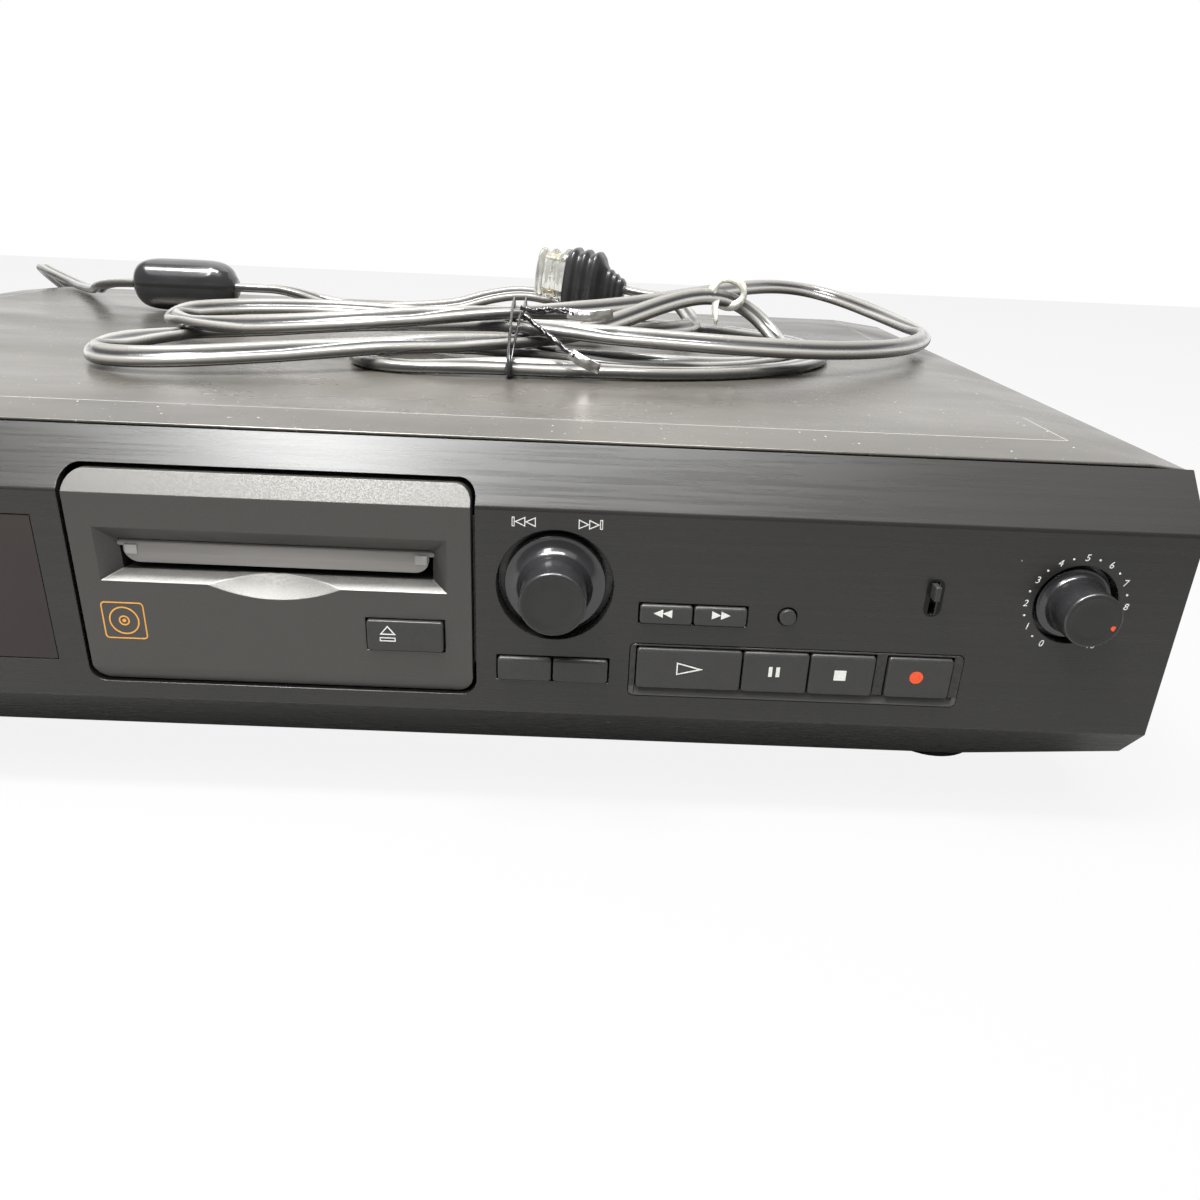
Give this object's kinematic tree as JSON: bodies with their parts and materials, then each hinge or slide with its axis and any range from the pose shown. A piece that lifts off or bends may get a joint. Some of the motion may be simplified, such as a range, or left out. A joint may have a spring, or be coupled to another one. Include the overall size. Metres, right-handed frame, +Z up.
{
  "type": "minidisc deck",
  "caption": "Full-width hi-fi disc recorder deck: slanted front panel with spring-flap slot, keys, knobs and display, disc mechanism inside, lead tied up on top.",
  "frame": {"origin": "middle of the bounding box at the feet's soles, measured without the lead", "axes": "+X to the right seen from the front, +Y from the front panel to the rear, +Z up"},
  "size_m": [0.4382, 0.3504, 0.127],
  "materials": {
    "panel_black": "moulded, fine horizontal brushing",
    "surround_grey": "fine speckled metallic paint",
    "smoke_flap": "smoked translucent",
    "window_red": "dark red gloss",
    "tray_grey": "speckled metallic paint",
    "key_grey": "satin",
    "knob_black": "gloss",
    "cover_paint": "satin baked paint",
    "steel_plate": "zinc plated",
    "foot_black": "satin",
    "screw_black": "blackened",
    "lamp_red": "clear red",
    "board_green": "solder mask",
    "part_black": "moulded",
    "part_grey": "moulded",
    "tube_glass": "dark",
    "core_steel": "varnished",
    "shell_brass": "plated",
    "ribbon_white": "flat cable",
    "gear_white": "natural",
    "alloy": "die cast",
    "cord_grey": "satin rubbery sheath",
    "plug_black": "moulded",
    "cap_clear": "clear",
    "tie_black": "coated wire"
  },
  "bodies": {
    "deck": {"front_panel": "panel_black", "slot_surround": "surround_grey", "display_window": "window_red", "key_tray": "tray_grey", "chassis_pan": "steel_plate", "top_cover": "cover_paint", "rear_plate": "steel_plate", "front_bracket": "steel_plate", "feet": "foot_black", "screws": "screw_black", "standby_lamp": "lamp_red", "control_boards": "board_green", "tact_switches": "part_black", "jog_encoder": "part_grey", "level_pot": "part_grey", "panel_switches": "part_grey", "display_tube": "tube_glass", "main_board": "board_green", "board_parts": "part_black", "power_board": "board_green", "transformer": "core_steel", "rear_jacks": "part_black", "jack_shells": "shell_brass", "ribbon_cables": "ribbon_white", "mech_frame": "steel_plate", "drive_motors": "steel_plate", "spindle_motor": "steel_plate", "sled_rods": "steel_plate", "strain_relief": "part_black", "cord_lead": "cord_grey", "cord_hank": "cord_grey", "cord_filter": "plug_black", "plug": "plug_black", "plug_cap": "cap_clear", "cord_tie": "tie_black"},
    "flap": {"slot_flap": "smoke_flap"},
    "eject_key": {"eject_button": "key_grey"},
    "edit_key": {"edit_button": "key_grey"},
    "confirm_key": {"confirm_button": "key_grey"},
    "rewind_key": {"rewind_button": "key_grey"},
    "forward_key": {"forward_button": "key_grey"},
    "play_key": {"play_button": "key_grey"},
    "pause_key": {"pause_button": "key_grey"},
    "stop_key": {"stop_button": "key_grey"},
    "record_key": {"record_button": "key_grey"},
    "display_key": {"display_button": "key_grey"},
    "jog_stem": {"jog_plunger": "steel_plate"},
    "jog_wheel": {"jog_knob": "knob_black"},
    "level_wheel": {"level_knob": "knob_black"},
    "input_slider": {"input_lever": "knob_black"},
    "timer_slider": {"timer_lever": "knob_black"},
    "power_key": {"power_button": "key_grey"},
    "holder": {"disc_holder": "alloy"},
    "loader": {"load_slider": "gear_white"},
    "loader_gear": {"load_gear": "gear_white"},
    "platter": {"turntable": "alloy"},
    "sled": {"pickup_sled": "alloy"},
    "sled_wheel": {"sled_gear": "gear_white"},
    "head": {"head_arm": "alloy"}
  },
  "joints": [
    {"name": "flap_swing", "type": "hinge", "parent": "deck", "child": "flap", "pos_m": [0, -0.1354, 0.0665], "axis": [1, 0, 0], "range_deg": [0, 88], "stiffness_Nm_per_rad": 0.001, "springref_deg": -22.92},
    {"name": "eject_press", "type": "slide", "parent": "deck", "child": "eject_key", "axis": [0, 1, 0], "range_m": [0, 0.0008], "stiffness_N_per_m": 900, "springref_m": -0.0006},
    {"name": "edit_press", "type": "slide", "parent": "deck", "child": "edit_key", "axis": [0, 1, 0], "range_m": [0, 0.0008], "stiffness_N_per_m": 900, "springref_m": -0.0006},
    {"name": "confirm_press", "type": "slide", "parent": "deck", "child": "confirm_key", "axis": [0, 1, 0], "range_m": [0, 0.0008], "stiffness_N_per_m": 900, "springref_m": -0.0006},
    {"name": "rewind_press", "type": "slide", "parent": "deck", "child": "rewind_key", "axis": [0, 1, 0], "range_m": [0, 0.0008], "stiffness_N_per_m": 900, "springref_m": -0.0006},
    {"name": "forward_press", "type": "slide", "parent": "deck", "child": "forward_key", "axis": [0, 1, 0], "range_m": [0, 0.0008], "stiffness_N_per_m": 900, "springref_m": -0.0006},
    {"name": "play_press", "type": "slide", "parent": "deck", "child": "play_key", "axis": [0, 1, 0], "range_m": [0, 0.0008], "stiffness_N_per_m": 900, "springref_m": -0.0006},
    {"name": "pause_press", "type": "slide", "parent": "deck", "child": "pause_key", "axis": [0, 1, 0], "range_m": [0, 0.0008], "stiffness_N_per_m": 900, "springref_m": -0.0006},
    {"name": "stop_press", "type": "slide", "parent": "deck", "child": "stop_key", "axis": [0, 1, 0], "range_m": [0, 0.0008], "stiffness_N_per_m": 900, "springref_m": -0.0006},
    {"name": "record_press", "type": "slide", "parent": "deck", "child": "record_key", "axis": [0, 1, 0], "range_m": [0, 0.0008], "stiffness_N_per_m": 900, "springref_m": -0.0006},
    {"name": "display_press", "type": "slide", "parent": "deck", "child": "display_key", "axis": [0, 1, 0], "range_m": [0, 0.0008], "stiffness_N_per_m": 900, "springref_m": -0.0006},
    {"name": "jog_push", "type": "slide", "parent": "deck", "child": "jog_stem", "axis": [0, 1, 0], "range_m": [0, 0.001], "stiffness_N_per_m": 900, "springref_m": -0.001},
    {"name": "jog_spin", "type": "hinge", "parent": "jog_stem", "child": "jog_wheel", "pos_m": [0.066, -0.14, 0.0614], "axis": [0, -1, 0], "continuous": true},
    {"name": "level_turn", "type": "hinge", "parent": "deck", "child": "level_wheel", "pos_m": [0.189, -0.14, 0.0618], "axis": [0, 1, 0], "range_deg": [-259, 41]},
    {"name": "input_select", "type": "slide", "parent": "deck", "child": "input_slider", "axis": [0, 0, 1], "range_m": [-0.004, 0]},
    {"name": "timer_select", "type": "slide", "parent": "deck", "child": "timer_slider", "axis": [1, 0, 0], "range_m": [-0.0035, 0.0035]},
    {"name": "power_press", "type": "slide", "parent": "deck", "child": "power_key", "axis": [0, 1, 0], "range_m": [0, 0.0025], "stiffness_N_per_m": 500, "springref_m": -0.001},
    {"name": "load_slide", "type": "slide", "parent": "deck", "child": "loader", "axis": [0, 1, 0], "range_m": [0, 0.012]},
    {"name": "holder_lift", "type": "slide", "parent": "deck", "child": "holder", "axis": [0, 0, 1], "range_m": [-0.005, 0]},
    {"name": "loader_gear_spin", "type": "hinge", "parent": "deck", "child": "loader_gear", "pos_m": [-0.0406, -0.0778, 0.043], "axis": [1, 0, 0], "range_deg": [-140, 2]},
    {"name": "platter_spin", "type": "hinge", "parent": "deck", "child": "platter", "pos_m": [0, -0.0918, 0.05], "axis": [0, 0, 1], "continuous": true},
    {"name": "sled_slide", "type": "slide", "parent": "deck", "child": "sled", "axis": [1, 0, 0], "range_m": [0, 0.017]},
    {"name": "sled_wheel_spin", "type": "hinge", "parent": "deck", "child": "sled_wheel", "pos_m": [0.0266, -0.0668, 0.046], "axis": [0, 0, 1], "range_deg": [-2, 164]},
    {"name": "head_lift", "type": "hinge", "parent": "sled", "child": "head", "pos_m": [0, -0.0518, 0.072], "axis": [1, 0, 0], "range_deg": [-8, 0], "stiffness_Nm_per_rad": 0.004, "springref_deg": 17.19}
  ],
  "couplings": [
    {"joint": "holder_lift", "follows": "load_slide", "ratio": -0.41667},
    {"joint": "loader_gear_spin", "follows": "load_slide", "rad_per_m": -200},
    {"joint": "sled_wheel_spin", "follows": "sled_slide", "rad_per_m": 166.67}
  ]
}
